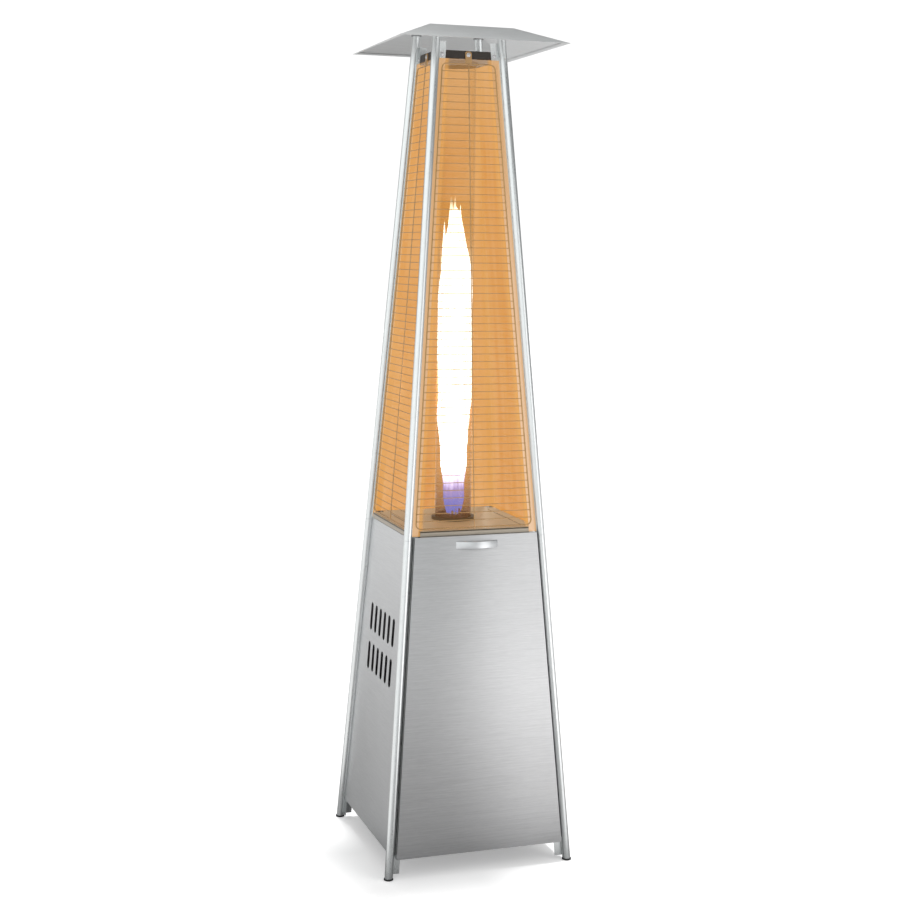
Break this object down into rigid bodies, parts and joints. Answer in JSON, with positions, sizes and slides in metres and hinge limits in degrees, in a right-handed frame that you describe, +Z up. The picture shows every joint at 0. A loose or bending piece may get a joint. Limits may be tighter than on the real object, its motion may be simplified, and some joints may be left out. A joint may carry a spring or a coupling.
{
  "type": "outdoor heater",
  "caption": "Free-standing pyramid gas heater: leaning tube legs, vented casing with tilt-out door, glass flame tube inside wire guards, hipped sheet reflector.",
  "frame": {"origin": "on the floor, midway between the four feet", "axes": "+Z up; -Y is the front with the door; +X is to the right as seen from the front"},
  "size_m": [0.542, 0.542, 2.2724],
  "materials": {
    "rubber_black": "moulded matt rubber",
    "leg_steel": "satin stainless tube with a soft length-wise brushing",
    "inner_steel": "plain zinc-grey folded sheet",
    "screw_steel": "bright turned and pressed steel",
    "panel_steel": "stainless sheet with fine horizontal brushing",
    "door_steel": "stainless sheet with fine horizontal brushing",
    "handle_chrome": "polished",
    "black_plastic": "fine moulded texture",
    "tray_steel": "stainless sheet, slightly heat-toned",
    "valve_brass": "turned",
    "button_red": "glossy moulded plastic",
    "pipe_aluminium": "drawn tube",
    "burner_steel": "heat-blued steel",
    "copper": "drawn copper capillary",
    "electrode_ceramic": "white glazed insulator",
    "tube_seal": "black heat-proof enamel",
    "tube_glass": "clear heat-proof glass",
    "guard_wire": "bright drawn wire, spot-welded",
    "frame_dark": "dark heat-toned strap",
    "reflector_sheet": "satin sheet"
  },
  "bodies": {
    "root": {"foot_fl": "rubber_black", "foot_fr": "rubber_black", "foot_bl": "rubber_black", "foot_br": "rubber_black", "lower_leg_fl": "leg_steel", "lower_leg_fr": "leg_steel", "lower_leg_bl": "leg_steel", "lower_leg_br": "leg_steel", "upper_leg_fl": "leg_steel", "upper_leg_fr": "leg_steel", "upper_leg_bl": "leg_steel", "upper_leg_br": "leg_steel", "joint_sleeve_fl": "inner_steel", "joint_sleeve_fr": "inner_steel", "joint_sleeve_bl": "inner_steel", "joint_sleeve_br": "inner_steel", "leg_joint_screws": "screw_steel", "base_plate": "inner_steel", "left_panel": "panel_steel", "right_panel": "panel_steel", "rear_panel": "panel_steel", "panel_screws": "screw_steel", "hinge_bracket_left": "inner_steel", "hinge_bracket_right": "inner_steel", "hinge_pin_left": "screw_steel", "hinge_pin_right": "screw_steel", "door_magnet": "black_plastic", "burner_tray": "tray_steel", "control_box": "inner_steel", "gas_valve": "valve_brass", "igniter_housing": "black_plastic", "gas_inlet": "valve_brass", "supply_pipe": "pipe_aluminium", "burner_jet": "valve_brass", "burner_cup": "burner_steel", "flame_grid": "burner_steel", "pilot_burner": "valve_brass", "thermocouple": "copper", "spark_electrode": "electrode_ceramic", "ignition_lead": "black_plastic", "tilt_switch": "black_plastic", "lower_tube_ring": "tube_seal", "glass_tube": "tube_glass", "top_tube_plate": "inner_steel", "wire_guard_front": "guard_wire", "wire_guard_right": "guard_wire", "wire_guard_rear": "guard_wire", "wire_guard_left": "guard_wire", "top_frame": "frame_dark", "frame_screws": "screw_steel", "reflector_hood": "reflector_sheet", "reflector_brackets": "inner_steel", "reflector_screws": "screw_steel"},
    "door": {"front_door": "door_steel", "door_handle": "handle_chrome", "handle_screws": "screw_steel", "magnet_strike": "screw_steel"},
    "valve_plunger": {"valve_plunger": "valve_brass"},
    "control_knob": {"control_knob": "black_plastic"},
    "igniter_button": {"igniter_button": "button_red"}
  },
  "joints": [
    {"name": "door_hinge", "type": "hinge", "parent": "root", "child": "door", "pos_m": [0, -0.25824, 0.06437], "axis": [1, 0, 0], "range_deg": [0, 78]},
    {"name": "knob_push", "type": "slide", "parent": "root", "child": "valve_plunger", "axis": [0, 1, 0], "range_m": [0, 0.003], "stiffness_N_per_m": 600, "springref_m": -0.002},
    {"name": "knob_turn", "type": "hinge", "parent": "valve_plunger", "child": "control_knob", "pos_m": [0, -0.15, 0.85], "axis": [0, -1, 0], "range_deg": [0, 180]},
    {"name": "igniter_press", "type": "slide", "parent": "root", "child": "igniter_button", "axis": [0, 1, 0], "range_m": [0, 0.004], "stiffness_N_per_m": 700, "springref_m": -0.002}
  ]
}
